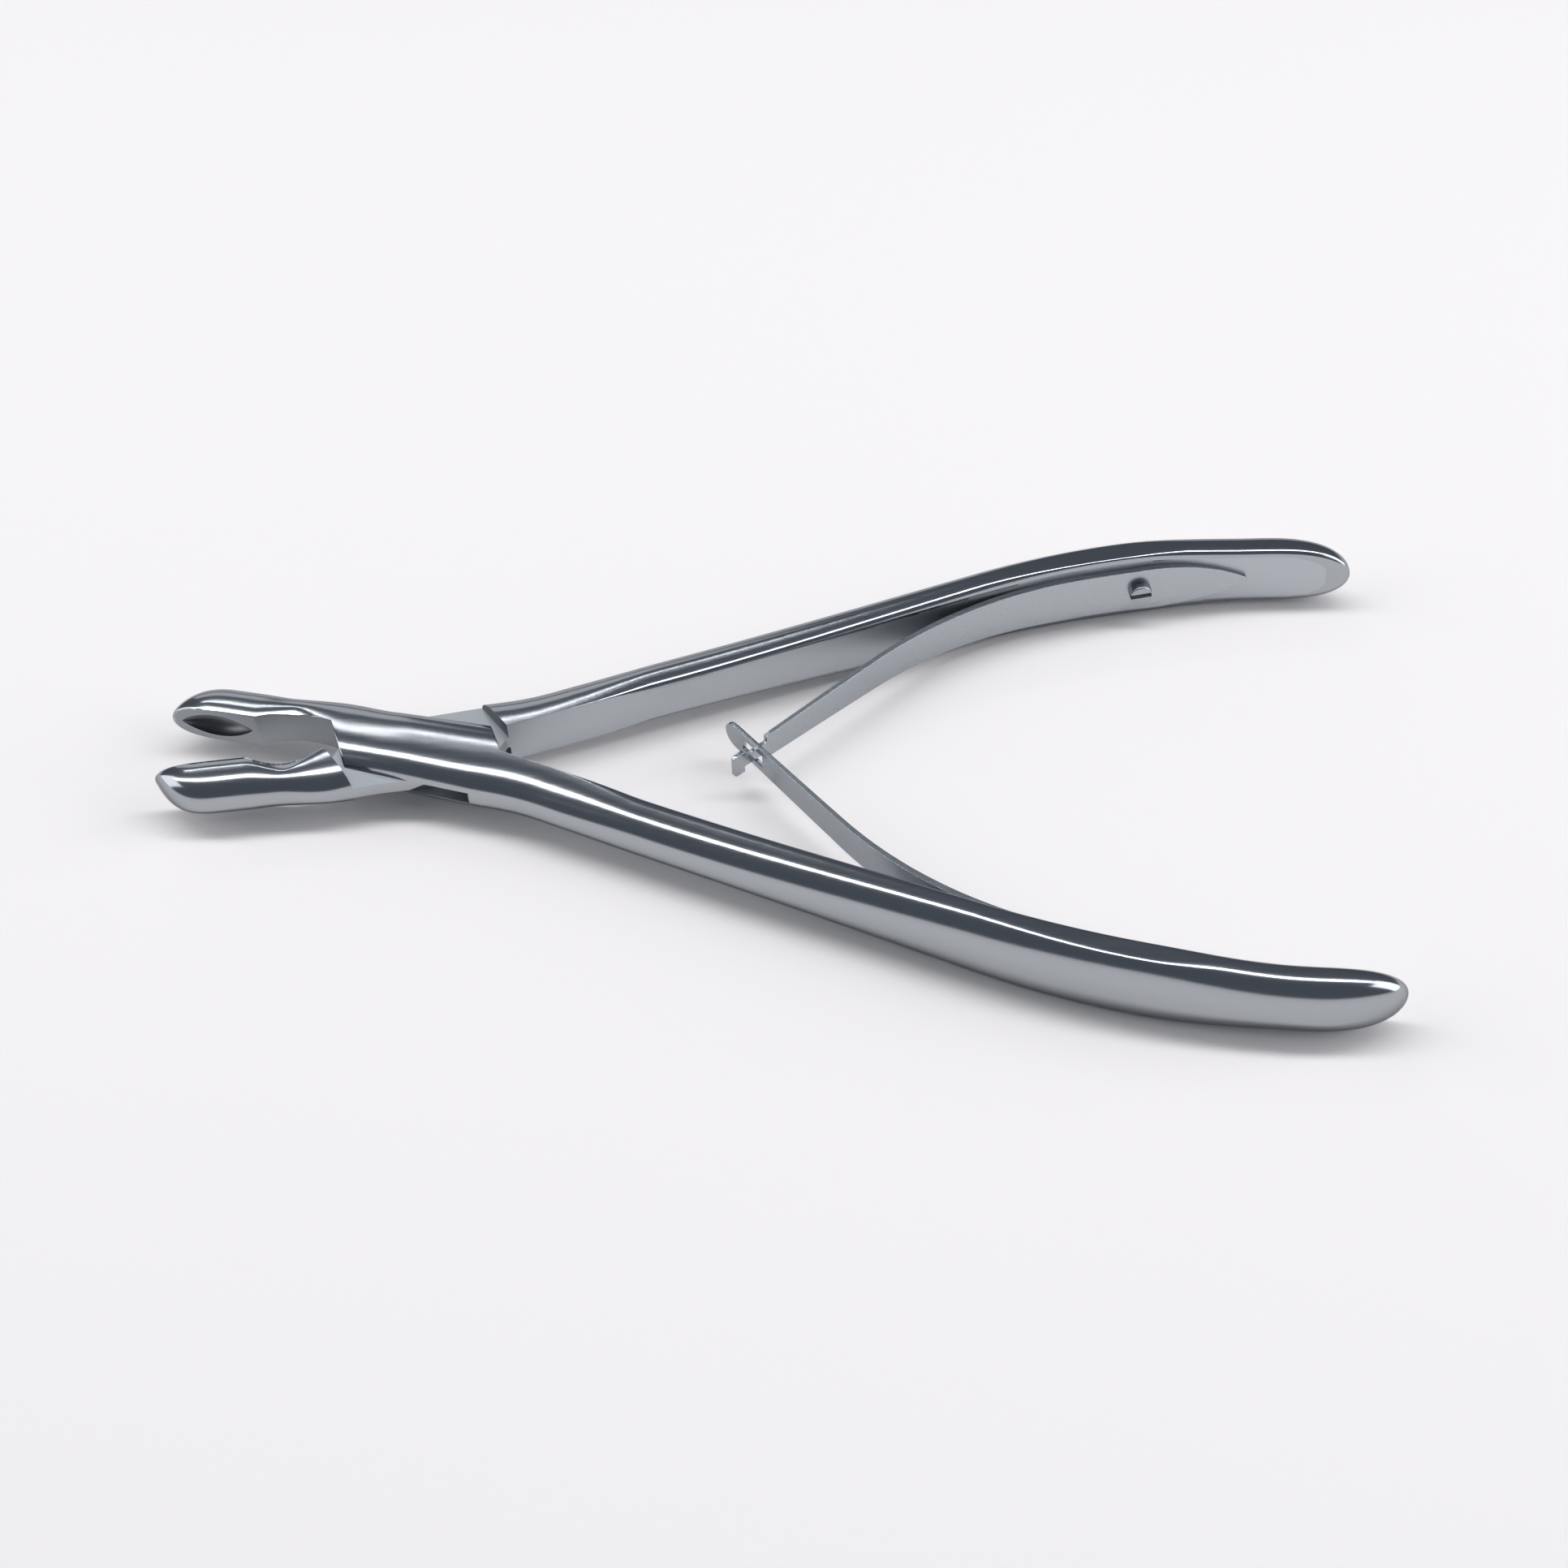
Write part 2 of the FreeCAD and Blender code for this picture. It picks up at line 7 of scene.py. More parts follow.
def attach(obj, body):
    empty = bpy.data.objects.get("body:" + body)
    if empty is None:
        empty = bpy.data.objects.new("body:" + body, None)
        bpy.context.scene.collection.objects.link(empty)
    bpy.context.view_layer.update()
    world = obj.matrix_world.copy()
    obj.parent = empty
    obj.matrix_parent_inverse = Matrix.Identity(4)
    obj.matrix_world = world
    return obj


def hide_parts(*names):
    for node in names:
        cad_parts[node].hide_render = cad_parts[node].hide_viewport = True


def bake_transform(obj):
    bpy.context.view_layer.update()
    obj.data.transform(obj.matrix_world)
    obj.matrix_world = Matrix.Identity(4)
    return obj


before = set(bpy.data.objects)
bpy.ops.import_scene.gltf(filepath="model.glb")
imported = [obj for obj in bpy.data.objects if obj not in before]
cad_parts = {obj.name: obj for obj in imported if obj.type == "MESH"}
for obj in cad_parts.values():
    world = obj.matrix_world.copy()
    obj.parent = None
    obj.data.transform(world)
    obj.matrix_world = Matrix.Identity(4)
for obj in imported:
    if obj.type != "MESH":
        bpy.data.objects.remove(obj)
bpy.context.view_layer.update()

# The two levers of a bone rongeur are drop-forged in stainless steel. Each is a bar, round in
# section, that narrows behind the jaw, thickens at the box lock and widens to the grip. It is
# drawn in millimetres from the pivot, in the open pose, with its jaw at +Y and handle at -Y.
millimetre = 0.001
pivot_axis = Vector((-49.2502, 0.0, 5.9))
half_open = 9.2
rim_clearance = 0.03

jaw_reach, nose_length, jaw_depth, jaw_half = 35.8, 9.3, 6.0, 3.3
nose_slope, nose_bluntness = 2.6, 4
past_rim, rim_end = 2.6, 22.9
neck_at, neck_half, neck_low = 17.5, 2.9, 2.6
box_half_width, box_half = 5.9, 3.7
box_far_slope, box_near_slope = 9.5, 13.5
box_swell, box_swell_at, box_swell_length = 0.65, 11.0, 8.0
front_edge, rear_edge = 9.9, 11.3
root_x, root_y, handle_angle = 14.3, 2.8, 21.3
bend_start, bend_radius = 80.0, 128.0
handle_reach, end_length = 134.3, 12.3
end_slope, end_bluntness, end_set = 2, 3, 0.9
shaft_depth, grip_depth, grip_at = 5.8, 5.1, 100.0
back_leaves_box, back_is_handle, past_face = 8.0, 22.0, 1.7
shaft_half, shaft_at = 3.75, 34.0
grip_half, grip_land, grip_tail_half, grip_tail_at = 6.3, 5.9, 5.15, 120.0
jaw_round, neck_round, box_round, back_round, face_round = 2.4, 2.3, 2.8, 2.3, 2.8
ground_edge, handle_edge = 0.3, 0.9
rim_bevel, rim_bevel_depth, rim_bevel_edge = 15.0, 0.14, 0.12
rim_bevel_run, rim_bevel_clear = 6.0, 0.6


def tangent(degrees):
    return math.tan(math.radians(degrees))


def towards(degrees, distance):
    turn = math.radians(degrees)
    return Vector((distance * math.cos(turn), distance * math.sin(turn), 0))


def swell(x, left, right, start, end):
    """A smooth change from start at left to end at right."""
    share = min(1.0, max(0.0, (x - left) / (right - left)))
    return start + (end - start) * share * share * (3 - 2 * share)


def rim_height(x):
    return -x * tangent(half_open)


def face_slope(x):
    """Slope of a handle's inner face in degrees: a straight run, then an arc."""
    if x <= bend_start:
        return handle_angle
    bent = (x - bend_start) / bend_radius
    return math.degrees(math.asin(math.sin(math.radians(handle_angle)) - bent))


def face_depth(x):
    """Distance of a handle's inner face from the middle line."""
    straight = root_y + (min(x, bend_start) - root_x) * tangent(handle_angle)
    turned = math.cos(math.radians(face_slope(x))) - math.cos(math.radians(handle_angle))
    return straight + bend_radius * turned


def nose(x):
    """How much of the jaw's height and of its width is left at x, towards its rounded nose."""
    share = min(1.0, max(0.0, (-x - jaw_reach + nose_length) / nose_length))
    return 1 - share ** nose_slope, math.sqrt(1 - share ** nose_bluntness)


def handle_end(x):
    """How much of the handle's depth and of its width is left at x, towards its rounded end."""
    share = min(1.0, max(0.0, (x - handle_reach + end_length) / end_length))
    return math.sqrt(1 - share ** end_slope), math.sqrt(1 - share ** end_bluntness)


def far_side(x):
    """The jaw's back, the box's far flank, then past the handle's inner face."""
    stands_out = swell(abs(x + box_swell_at), 0, box_swell_length, box_swell, 0)
    flank = box_half_width - x * tangent(box_far_slope) + stands_out
    if x < -neck_at:
        jaw_back = rim_height(x) + jaw_depth * nose(x)[0]
        return swell(x, -rim_end - nose_length / 2, -neck_at, jaw_back, flank)
    past = (past_face + end_set) * handle_end(x)[0] - end_set
    return swell(x, rear_edge, shaft_at, flank, past - face_depth(x))


def near_side(x):
    """Past the rim, the box's near flank, then the handle's back."""
    flank = -box_half_width - x * tangent(box_near_slope)
    if x < -neck_at:
        return swell(x, -rim_end, -neck_at, rim_height(x) - past_rim * nose(x)[0], neck_low)
    if x < 0:
        return swell(x, -neck_at, -front_edge, neck_low, flank)
    depth = swell(x, shaft_at, grip_at, shaft_depth, grip_depth)
    upright = depth / math.cos(math.radians(face_slope(x)))
    back = -face_depth(x) - end_set - (upright - end_set) * handle_end(x)[0]
    return swell(x, back_leaves_box, back_is_handle, flank, back)


def half_width(x):
    if x < -neck_at:
        return swell(x, -rim_end, -neck_at, jaw_half * nose(x)[1], neck_half)
    if x < 0:
        return swell(x, -neck_at, 0, neck_half, box_half)
    if x < shaft_at:
        return swell(x, rear_edge, shaft_at, box_half, shaft_half)
    grip = swell(x, shaft_at, grip_at, shaft_half, grip_half)
    return swell(x, grip_at, grip_tail_at, grip, grip_tail_half) * handle_end(x)[1]


def roundness(x, far):
    """How square the forging's section is: 2 is an ellipse."""
    if x < -neck_at:
        return swell(x, -rim_end, -neck_at, jaw_round, neck_round)
    if x <= 0:
        return swell(x, -neck_at, 0, neck_round, box_round)
    if far:
        return swell(x, rear_edge, shaft_at, box_round, face_round)
    return swell(x, 0, shaft_at, box_round, back_round)


def not_below(value, limit, corner=ground_edge):
    """The larger of two heights, with the corner between them broken as polishing leaves it."""
    over = value - limit
    if over >= corner:
        return value
    if over <= -corner:
        return limit
    return limit + (over + corner) ** 2 / (4 * corner)


def not_above(value, limit, corner=ground_edge):
    return -not_below(-value, -limit, corner)


def bevelled(x, y, z, high, low, half, power, limit):
    """The forging beside its nipping rim and hollow, dressed to a narrow flat along their edge."""
    share = min(1.0, abs(2 * limit - high - low) / (high - low))
    edge = half * (1 - share ** power) ** (1 / power) - rim_bevel_depth
    at_nose = swell(x, -jaw_reach, rim_bevel_run - jaw_reach, 1, 0)
    at_box = swell(x, -neck_at, -front_edge, 0, 1)
    flat = edge + (y - limit) * tangent(rim_bevel) + rim_bevel_clear * (at_nose + at_box)
    return math.copysign(not_above(abs(z), flat, rim_bevel_edge), z)


def crossing(angle_a, distance_a, angle_b, distance_b):
    """Where two lines cross, each given by its normal and its distance from the pivot."""
    a, b = math.radians(angle_a), math.radians(angle_b)
    across = math.sin(b - a)
    x = (distance_a * math.sin(b) - distance_b * math.sin(a)) / across
    return Vector((x, (distance_b * math.cos(a) - distance_a * math.cos(b)) / across, 0))


def on_line(angle, distance, x):
    """The height of such a line at x."""
    turn = math.radians(angle)
    return (distance - x * math.cos(turn)) / math.sin(turn)


# Each lever is ground back to its working outline: the rim that nips the bone, the round hollow
# behind it, the slanted front edge of the box, and the slanted rear edge with the handle's flat
# inner face. The tongue lever has a shoulder beside its tongue where the other has an edge.
edge_slant, edge_gap = 30.0, 0.55
front_corner, shoulder_peak = 7.45, 1.45
hollow_top = Vector((-18.2, 4.5, 0))
heel = Vector((-rim_end, rim_height(-rim_end) + rim_clearance, 0))
front_angle = 180 + edge_slant - half_open
rear_angle = edge_slant - half_open
shoulder_angle = 180 - edge_slant - half_open
box_corner = towards(front_angle, front_edge) + towards(front_angle - 90, front_corner)
shoulder_root = crossing(shoulder_angle, front_edge + edge_gap, front_angle, front_edge)
shoulder_tip = shoulder_root + towards(shoulder_angle + 90, shoulder_peak)
face_normal = 90 - handle_angle
face_distance = Vector((root_x, -root_y, 0)).dot(towards(face_normal, 1))
rear_corner = crossing(rear_angle, rear_edge, face_normal, face_distance)


def round_through(a, b, c):
    """Centre and radius of the circle through three points."""
    p, q = b - a, c - a
    across = 2 * (p.x * q.y - p.y * q.x)
    x = (q.y * p.length_squared - p.y * q.length_squared) / across
    y = (p.x * q.length_squared - q.x * p.length_squared) / across
    return a + Vector((x, y, 0)), math.hypot(x, y)


def ground_front(corner, root):
    """The lower limit of a lever's steel along its length, from the rim to the box."""
    centre, radius = round_through(heel, hollow_top, corner)

    def limit(x):
        if x <= heel.x:
            return rim_height(x) + rim_clearance
        if x <= corner.x:
            return centre.y + math.sqrt(max(0.0, radius ** 2 - (x - centre.x) ** 2))
        if x <= root.x:
            return on_line(shoulder_angle, front_edge + edge_gap, x)
        return on_line(front_angle, front_edge, x)
    return limit


def ground_rear(x):
    """The upper limit of a lever's steel, from the box's rear edge along the handle."""
    if x <= rear_corner.x:
        return on_line(rear_angle, rear_edge, x)
    return -face_depth(x)


def evenly(start, end, spacing):
    steps = max(1, math.ceil(abs(end - start) / spacing))
    return [start + (end - start) * i / steps for i in range(steps + 1)]


jaw_step, hollow_step, shoulder_step, edge_step = 0.35, 0.3, 0.12, 0.1
box_step, root_step, shaft_step, end_turn = 0.4, 0.5, 0.9, math.radians(3)
behind_front_edge, before_rear_edge = -8.0, 10.3
same_place, on_ground, seam_gap = 0.004, 0.001, 0.0001
handle_ground, jaw_ground = 1, 2


def lever_stations(corner, root):
    """Places along a lever where its section is set, closer where its outline turns fast."""
    nose_body, end_body = nose_length - jaw_reach, handle_reach - end_length
    nose_turns = evenly(2 * end_turn, math.pi / 2, end_turn)
    places = [-jaw_reach - (nose_body + jaw_reach) * (math.cos(t) - 1) for t in nose_turns]
    places += evenly(nose_body, heel.x, jaw_step) + evenly(heel.x, corner.x, hollow_step)
    places += evenly(corner.x, root.x, shoulder_step) + evenly(root.x, behind_front_edge, edge_step)
    places += evenly(behind_front_edge, before_rear_edge, box_step)
    places += evenly(before_rear_edge, rear_corner.x, edge_step)
    places += evenly(rear_corner.x, shaft_at, root_step) + evenly(shaft_at, end_body, shaft_step)
    end_turns = evenly(end_turn, math.pi / 2, end_turn)
    places += [handle_reach + (handle_reach - end_body) * (math.cos(t) - 1) for t in end_turns]
    places.sort()
    kept = places[:1]
    for place in places:
        if place - kept[-1] > same_place:
            kept.append(place)
    return kept


def forge(corner, root, around=144):
    """The forging, ground to its outline: a sheet rolled into a bar and pressed to shape."""
    lever = bmesh.new()
    places = lever_stations(corner, root)
    bmesh.ops.create_grid(lever, x_segments=len(places) - 1, y_segments=around, size=1)
    front = ground_front(corner, root)
    sections = []
    for x in places:
        limit = front(x) if x < 0 else ground_rear(x)
        powers = (roundness(x, True), roundness(x, False))
        sections.append((x, far_side(x), near_side(x), half_width(x), powers, limit))
    seam, ground = [], set()
    for v in lever.verts:
        station = round((v.co.x + 1) / 2 * (len(places) - 1))
        x, high, low, half, (far_power, near_power), limit = sections[station]
        if abs(v.co.y) > 1 - 1 / around:
            seam.append(v)
        turn = math.pi * v.co.y
        c, s = math.cos(turn), math.sin(turn)
        power = far_power if c > 0 else near_power
        radius = (abs(2 * c / (high - low)) ** power + abs(s / half) ** power) ** (-1 / power)
        y = radius * c + (high + low) / 2
        z = not_above(not_below(radius * s, -grip_land), grip_land)
        if x < -front_edge and y > limit:
            z = bevelled(x, y, z, high, low, half, near_power, limit)
        edge = swell(x, rear_corner.x, shaft_at, ground_edge, handle_edge)
        v.co = (x, not_below(y, limit) if x < 0 else not_above(y, limit, edge), z)
        if abs(v.co.y - limit) < on_ground:
            ground.add(v)
    for face in lever.faces:
        if all(v in ground for v in face.verts):
            face.material_index = handle_ground if face.verts[0].co.x > 0 else jaw_ground
    bmesh.ops.remove_doubles(lever, verts=seam, dist=seam_gap)
    bmesh.ops.holes_fill(lever, edges=[e for e in lever.edges if e.is_boundary], sides=0)
    bmesh.ops.recalc_face_normals(lever, faces=lever.faces)
    return lever


# The cup in each jaw is gouged with a round cutter into the nipping rim, so that the jaw's wall
# ends in a sharp edge. The two cups face each other and cut the bone between their edges.
cup_start, cup_length, cup_depth = 34.9, 10.8, 2.15
cup_steps, cup_turns, cup_seam = 40, 64, 0.0005


def as_piece(shape, name, materials=()):
    """A finished mesh, moved from millimetres at the pivot to its place in the frame."""
    mesh = bpy.data.meshes.new(name)
    shape.to_mesh(mesh)
    shape.free()
    mesh.transform(Matrix.Scale(millimetre, 4) @ Matrix.Translation(pivot_axis))
    for material in materials:
        mesh.materials.append(material)
    piece = bpy.data.objects.new(name, mesh)
    bpy.context.scene.collection.objects.link(piece)
    return piece


def cup_blade():
    shape = bmesh.new()
    along, out = towards(180 - half_open, 1), towards(90 - half_open, 1)
    front, back = along * cup_start, along * (cup_start - cup_length)
    middle = (front + back) / 2
    radius = (cup_length ** 2 / 4 + cup_depth ** 2) / (2 * cup_depth)
    centre = middle - out * (radius - cup_depth)
    reach = math.asin(cup_length / 2 / radius)
    arc = []
    for i in range(cup_steps + 1):
        turn = reach * (2 * i / cup_steps - 1)
        place = centre + out * radius * math.cos(turn) + along * radius * math.sin(turn)
        arc.append(shape.verts.new(place))
    edges = [shape.edges.new(pair) for pair in zip(arc, arc[1:])]
    bmesh.ops.spin(shape, geom=arc + edges, cent=middle, axis=along, angle=2 * math.pi,
                   steps=cup_turns, use_merge=True)
    bmesh.ops.remove_doubles(shape, verts=shape.verts, dist=cup_seam)
    bmesh.ops.recalc_face_normals(shape, faces=shape.faces)
    return as_piece(shape, "cup_blade")


# The box lever's jaw and lower handle meet in the box, whose two walls stand either side of a
# milled slot. The forging is polished stainless steel, left dull where it is ground flat, and the
# rivet's hole is drilled through both walls. The steep walls that the cutters leave, in the slot,
# the pockets, the cups and the bore, get a dull steel whose dark colour is painted shade.
tongue_thickness, tongue_clearance, pin_radius = 2.0, 0.04, 2.0
cutter_half, cutter_reach = 25.0, 30.0
lever_colour = (0.40, 0.422, 0.447)
handle_ground_colour, jaw_ground_colour = (0.50, 0.53, 0.56), (0.32, 0.34, 0.365)
# Painted shade: a dark colour for the steep milled walls of the slot, pockets, cups and bore.
milled_painted_shade_colour = (0.17, 0.175, 0.185)
grain_along, grain_across, scratch_depth, scratch_size, polish_range = 60, 2200, 0.015, 0.0001, 0.05
edge_tint = (0.5, 0.5, 0.52)


def satin_steel(name, colour, roughness, grain_turn):
    """Stainless steel under a satin polish: fine scratches that run along the piece."""
    steel = bpy.data.materials.new(name)
    steel.use_nodes = True
    nodes, links = steel.node_tree.nodes, steel.node_tree.links
    shader = nodes["Principled BSDF"]
    shader.inputs["Base Color"].default_value = (*colour, 1)
    shader.inputs["Metallic"].default_value = 1
    shader.inputs["Specular Tint"].default_value = (*edge_tint, 1)
    shader.inputs["Roughness"].default_value = roughness
    place = nodes.new("ShaderNodeTexCoord")
    along = nodes.new("ShaderNodeMapping")
    along.inputs["Rotation"].default_value = (0, 0, math.radians(grain_turn))
    along.inputs["Scale"].default_value = (grain_along, grain_across, grain_across)
    scratches = nodes.new("ShaderNodeTexNoise")
    scratches.inputs["Scale"].default_value = 1
    scratches.inputs["Detail"].default_value = 3
    depth = nodes.new("ShaderNodeBump")
    depth.inputs["Strength"].default_value = scratch_depth
    depth.inputs["Distance"].default_value = scratch_size
    polish = nodes.new("ShaderNodeMapRange")
    polish.inputs["To Min"].default_value = roughness - polish_range
    polish.inputs["To Max"].default_value = roughness + polish_range
    links.new(place.outputs["Object"], along.inputs["Vector"])
    links.new(along.outputs["Vector"], scratches.inputs["Vector"])
    links.new(scratches.outputs["Fac"], polish.inputs["Value"])
    links.new(polish.outputs["Result"], shader.inputs["Roughness"])
    links.new(scratches.outputs["Fac"], depth.inputs["Height"])
    links.new(depth.outputs["Normal"], shader.inputs["Normal"])
    return steel


box_steel = satin_steel("box_lever_steel", lever_colour, roughness=0.16, grain_turn=handle_angle)
face_steel = satin_steel("ground_face_steel", handle_ground_colour, roughness=0.42, grain_turn=90)
rim_steel = satin_steel("ground_rim_steel", jaw_ground_colour, roughness=0.38, grain_turn=90)
# Dull milled steel with painted shade in its dark colour.
milled_steel_painted_shade = satin_steel("milled_steel_painted_shade", milled_painted_shade_colour, roughness=0.35, grain_turn=90)
other_steels = (face_steel, rim_steel, milled_steel_painted_shade)


def block(low, high, name):
    """A block between two corners, turned to the slant of the box's edges."""
    shape = bmesh.new()
    bmesh.ops.create_cube(shape, size=1)
    size = [b - a for a, b in zip(low, high)]
    middle = [(a + b) / 2 for a, b in zip(low, high)]
    bmesh.ops.scale(shape, vec=size, verts=shape.verts)
    bmesh.ops.translate(shape, vec=middle, verts=shape.verts)
    turn = Matrix.Rotation(math.radians(-edge_slant - half_open), 3, "Z")
    bmesh.ops.rotate(shape, cent=(0, 0, 0), matrix=turn, verts=shape.verts)
    return as_piece(shape, name)


def pin_blank(radius=pin_radius):
    shape = bmesh.new()
    bmesh.ops.create_cone(shape, cap_ends=True, segments=96, radius1=radius, radius2=radius,
                          depth=cutter_reach)
    return as_piece(shape, "pin_blank")


def settled(piece):
    """Applies a piece's modifiers to its mesh."""
    seen = piece.evaluated_get(bpy.context.evaluated_depsgraph_get())
    mesh = bpy.data.meshes.new_from_object(seen)
    piece.modifiers.clear()
    old, piece.data = piece.data, mesh
    bpy.data.meshes.remove(old)
    return piece


nearly_level = 0.999


def machined(piece, cutter, operation="DIFFERENCE"):
    """Cuts a piece with another. The cut's level faces get the ground handle's material, where the
    piece has one, and its other faces the piece's last."""
    for material in piece.data.materials:
        cutter.data.materials.append(material)
    last = max(0, len(piece.data.materials) - 1)
    for face in cutter.data.polygons:
        level = abs(face.normal.z) > nearly_level
        face.material_index = min(handle_ground, last) if level else last
    cut = piece.modifiers.new("cut", "BOOLEAN")
    cut.solver = "MANIFOLD"
    cut.operation = operation
    cut.object = cutter
    settled(piece)
    bpy.data.objects.remove(cutter)
    return piece


def smoothed(piece, crease=32):
    """Smooth shading, with a crease wherever two ground faces meet at more than this angle."""
    piece.data.shade_smooth()
    piece.data.set_sharp_from_angle(angle=math.radians(crease))
    even = piece.modifiers.new("even_shading", "WEIGHTED_NORMAL")
    even.keep_sharp = True
    return piece


def dress(piece, node, body, material):
    """Stands a finished piece in for its node."""
    if material:
        piece.data.materials.clear()
        piece.data.materials.append(material)
    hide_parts(node)
    if body:
        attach(piece, body)
    return piece


box_forging = forge(box_corner, box_corner)
box_lever = as_piece(box_forging, "box_lever_forging", (box_steel, *other_steels))
slot_half = tongue_thickness / 2 + tongue_clearance
strip_front, strip_rear = -front_edge - edge_gap, rear_edge + edge_gap
slot_low, slot_high = (strip_front, -cutter_half, -slot_half), (strip_rear, cutter_half, slot_half)
machined(box_lever, block(slot_low, slot_high, "slot"))
machined(box_lever, cup_blade())
machined(box_lever, pin_blank())
dress(smoothed(box_lever), "box_lever", "box_side", None)

# The rivet is turned from the levers' steel, pressed through the box's walls, headed over and
# ground flush, so that only its two round ends lie in the box's crowned faces. It is cut here
# from the box lever's uncut forging, which gives its ends that crown.
rivet = as_piece(forge(box_corner, box_corner), "rivet", (box_steel, *other_steels))
machined(rivet, pin_blank(), "INTERSECT")
dress(smoothed(rivet), "pivot_pin", "box_side", box_steel)

# The tongue lever is forged like the other, and milled away on both sides where it goes through
# the box, down to a flat tongue between two pairs of shoulders that stop against the box's edges.
# It is drawn as the box lever's twin and mirrored, so its jaw lies below and its handle above.
tongue_steel = satin_steel("tongue_lever_steel", lever_colour, roughness=0.16, grain_turn=-handle_angle)


def mirrored(piece):
    """Turns a piece drawn on the lower handle into its twin on the upper one."""
    piece.data.transform(Matrix.Scale(-1, 4, (0, 1, 0)))
    piece.data.flip_normals()
    return piece


tongue_forging = forge(shoulder_tip, shoulder_root)
tongue_lever = as_piece(tongue_forging, "tongue_lever_forging", (tongue_steel, *other_steels))
tongue_half = tongue_thickness / 2
for low, high in ((tongue_half, cutter_reach), (-cutter_reach, -tongue_half)):
    pocket_low, pocket_high = (strip_front, -cutter_half, low), (strip_rear, cutter_half, high)
    machined(tongue_lever, block(pocket_low, pocket_high, "pocket"))
machined(tongue_lever, cup_blade())
machined(tongue_lever, pin_blank(pin_radius + tongue_clearance))
dress(smoothed(mirrored(tongue_lever)), "tongue_lever", "tongue_side", None)

# Each leaf spring is a strip of spring steel, ground thinner towards both ends. Screwed flat to a
# grip, it lifts off in a long bend and runs straight to the middle. The lower one ends in a
# rounded tip with a slot cut in it.
leaf_thickness, foot_width, leaf_leaves, leaf_bend = 1.0, 7.8, 90.0, 64.0
leaf_tail, tail_taper, tail_width, tail_round, tip_width = 119.0, 17.0, 1.6, 0.4, 4.4
tail_curve = Vector((7.1, 3.2, 0))
crossing_x, crossing_y = 48.4, 1.2
slot_back, slot_ahead, slot_width, leaf_end = 1.3, 3.1, 2.4, 7.0
leaf_step, foot_step, slot_step = 0.8, 0.7, 0.5
leaf_edge, tail_share, tip_share, inner_share = 0.12, 0.55, 0.65, 0.6
tail_steps, tip_steps = 5, 12
spring_colour = (0.44, 0.47, 0.50)
spring_steel = satin_steel("leaf_spring_steel", spring_colour, roughness=0.26, grain_turn=40)


def inward(x):
    return towards(90 - face_slope(x), 1)


def on_face(x):
    return Vector((x, -face_depth(x), 0))


def leaf_run(cross):
    """A leaf's bend and its straight run: the bend's centre, its last turn, and the way ahead."""
    centre = on_face(leaf_leaves) + inward(leaf_leaves) * leaf_bend
    reach = cross - centre
    bearing = math.degrees(math.atan2(reach.y, reach.x)) % 360
    turn = bearing + math.degrees(math.acos((leaf_bend - leaf_thickness / 2) / reach.length))
    return centre, turn, towards(turn - 90, 1)


def leaf_back(cross, x):
    """The point at x on the face that a leaf turns to its handle."""
    centre, turn, ahead = leaf_run(cross)
    bend_end = centre + towards(turn, leaf_bend)
    if x >= leaf_leaves:
        return on_face(x)
    if x > bend_end.x:
        return Vector((x, centre.y - math.sqrt(leaf_bend ** 2 - (x - centre.x) ** 2), 0))
    return bend_end + ahead * (x - bend_end.x) / ahead.x


def foot_half(x):
    """Half the width of a leaf's foot: a narrow tail that widens in a curve to the full foot."""
    start = Vector((leaf_tail - tail_round, tail_width / 2, 0))
    full = Vector((leaf_tail - tail_taper, foot_width / 2, 0))
    centre, radius = round_through(start, Vector((leaf_tail - tail_curve.x, tail_curve.y, 0)), full)
    if x <= full.x:
        return full.y
    if x <= start.x:
        return centre.y + math.sqrt(radius ** 2 - (x - centre.x) ** 2)
    return start.y * math.sqrt(max(0.0, 1 - ((x - start.x) / tail_round) ** 2))


def leaf_strip(cross, places, half, inner, open_at, name):
    """A strip along a leaf's run, between two half widths, with its thickness. Where open_at says
    so, the sheet is cut out between the inner lines or outside them."""
    shape = bmesh.new()
    bmesh.ops.create_grid(shape, x_segments=len(places) - 1, y_segments=4, size=1)
    cut_out = []
    for face in shape.faces:
        middle = face.calc_center_median()
        step = (middle.x + 1) / 2 * (len(places) - 1)
        x = (places[math.floor(step)] + places[math.ceil(step)]) / 2
        if open_at(x) == ("inside" if abs(middle.y) < 0.5 else "outside"):
            cut_out.append(face)
    bmesh.ops.delete(shape, geom=cut_out, context="FACES")
    for v in shape.verts:
        x = places[round((v.co.x + 1) / 2 * (len(places) - 1))]
        row = round(2 * v.co.y)
        z = row / 2 * half(x) if abs(row) == 2 else row * min(inner, inner_share * half(x))
        v.co = leaf_back(cross, x) + Vector((0, 0, z))
    bmesh.ops.recalc_face_normals(shape, faces=shape.faces)
    shape.faces.ensure_lookup_table()
    if shape.faces[0].normal.dot(inward(leaf_leaves)) > 0:
        bmesh.ops.reverse_faces(shape, faces=shape.faces)
    strip = as_piece(shape, name)
    thinned = strip.vertex_groups.new(name="thinned")
    for v in strip.data.vertices:
        x = v.co.x / millimetre - pivot_axis.x
        share = swell(x, leaf_tail - tail_taper, leaf_tail, 1, tail_share)
        share *= swell(x, crossing_x, leaf_leaves, tip_share, 1)
        thinned.add([v.index], share, "REPLACE")
    wall = strip.modifiers.new("wall", "SOLIDIFY")
    wall.vertex_group = "thinned"
    wall.thickness = leaf_thickness * millimetre
    wall.use_even_offset = True
    return settled(strip)


